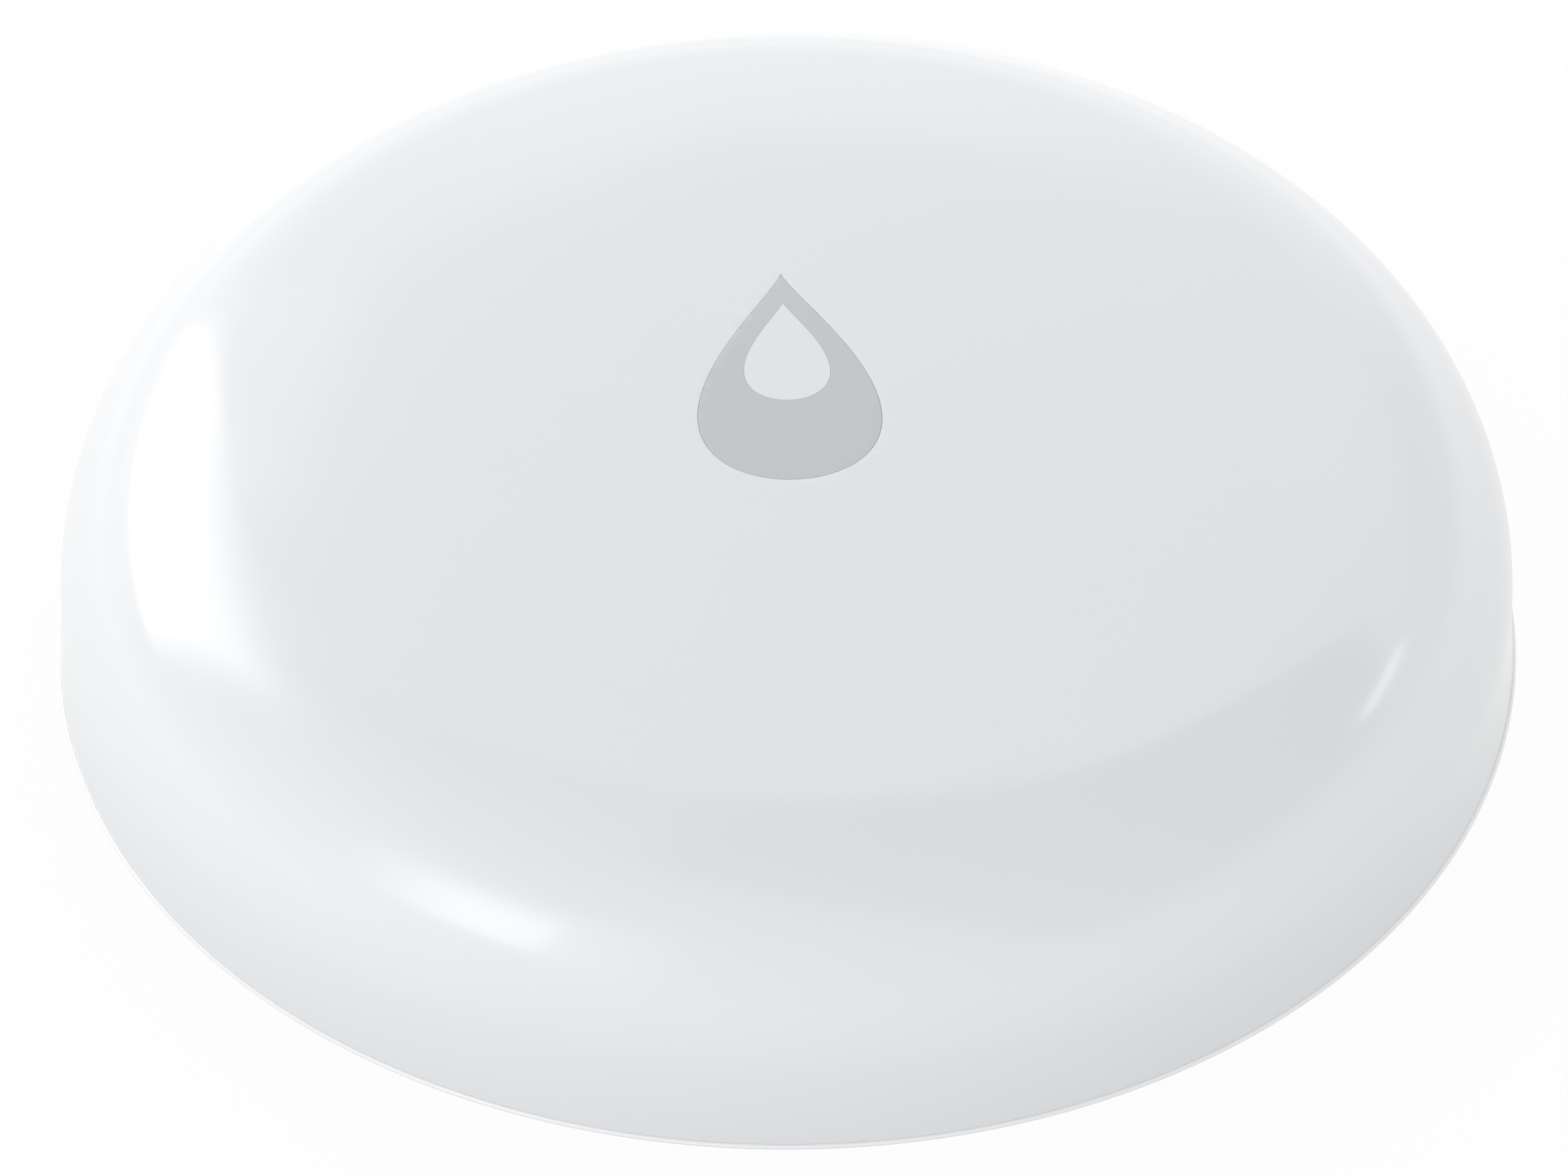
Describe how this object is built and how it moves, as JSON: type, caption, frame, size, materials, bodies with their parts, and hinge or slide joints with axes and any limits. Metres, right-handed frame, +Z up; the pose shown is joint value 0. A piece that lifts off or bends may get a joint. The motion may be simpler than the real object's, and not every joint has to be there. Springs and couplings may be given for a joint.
{
  "type": "water leak sensor",
  "caption": "Round pebble-shaped water leak sensor with a drop-shaped press key in its crown, metal probes under its base and a screwed battery door.",
  "frame": {"origin": "on the floor under the centre of the case", "axes": "+Z up from the floor to the crown, +Y towards the point of the drop, +X to the right of someone who reads the drop upright"},
  "size_m": [0.05, 0.05, 0.015],
  "materials": {
    "shell_plastic": "gloss",
    "base_plastic": "satin",
    "key_plastic": "gloss",
    "membrane_silicone": "matte",
    "seal_rubber": "matte",
    "inner_plastic": "matte",
    "black_plastic": "matte",
    "steel": "satin",
    "probe_steel": "polished",
    "board_laminate": "satin",
    "tan_ceramic": "matte",
    "copper": "satin",
    "cell_filling": "matte",
    "contact_bronze": "satin"
  },
  "bodies": {
    "case": {"upper_shell": "shell_plastic", "base_housing": "base_plastic", "case_seal": "seal_rubber", "key_membrane": "membrane_silicone", "membrane_ring": "inner_plastic", "switch_body": "black_plastic", "switch_cover": "steel", "switch_terminals": "steel", "circuit_board": "board_laminate", "radio_chip": "black_plastic", "crystal": "steel", "indicator_light": "inner_plastic", "passive_parts": "tan_ceramic", "antenna": "copper", "cell_can": "steel", "cell_gasket": "black_plastic", "cell_cap": "steel", "cell_core": "cell_filling", "battery_cradle": "inner_plastic", "positive_contacts": "contact_bronze", "negative_contact": "contact_bronze", "probe_screws": "probe_steel", "probe_seals": "seal_rubber", "probe_spacers": "contact_bronze", "threaded_inserts": "contact_bronze"},
    "key": {"drop_key": "key_plastic", "drop_inset": "shell_plastic"},
    "stem": {"switch_stem": "inner_plastic"},
    "door_ring": {"door_seal": "seal_rubber"},
    "door": {"battery_door": "base_plastic"}
  },
  "joints": [
    {"name": "key_press", "type": "slide", "parent": "case", "child": "key", "axis": [0, 0, -1], "range_m": [0, 0.0003], "stiffness_N_per_m": 1500, "springref_m": -0.0002, "deforming": ["key_membrane"]},
    {"name": "stem_press", "type": "slide", "parent": "case", "child": "stem", "axis": [0, 0, -1], "range_m": [0, 0.0003]},
    {"name": "door_lift", "type": "slide", "parent": "case", "child": "door_ring", "axis": [0, 0, -1], "range_m": [0, 0.00467]},
    {"name": "door_turn", "type": "hinge", "parent": "door_ring", "child": "door", "pos_m": [0, 0, 0.0008], "axis": [0, 0, -1], "range_deg": [0, 120]}
  ],
  "couplings": [
    {"joint": "stem_press", "follows": "key_press", "ratio": 1},
    {"joint": "door_turn", "follows": "door_lift", "rad_per_m": 448.8}
  ]
}
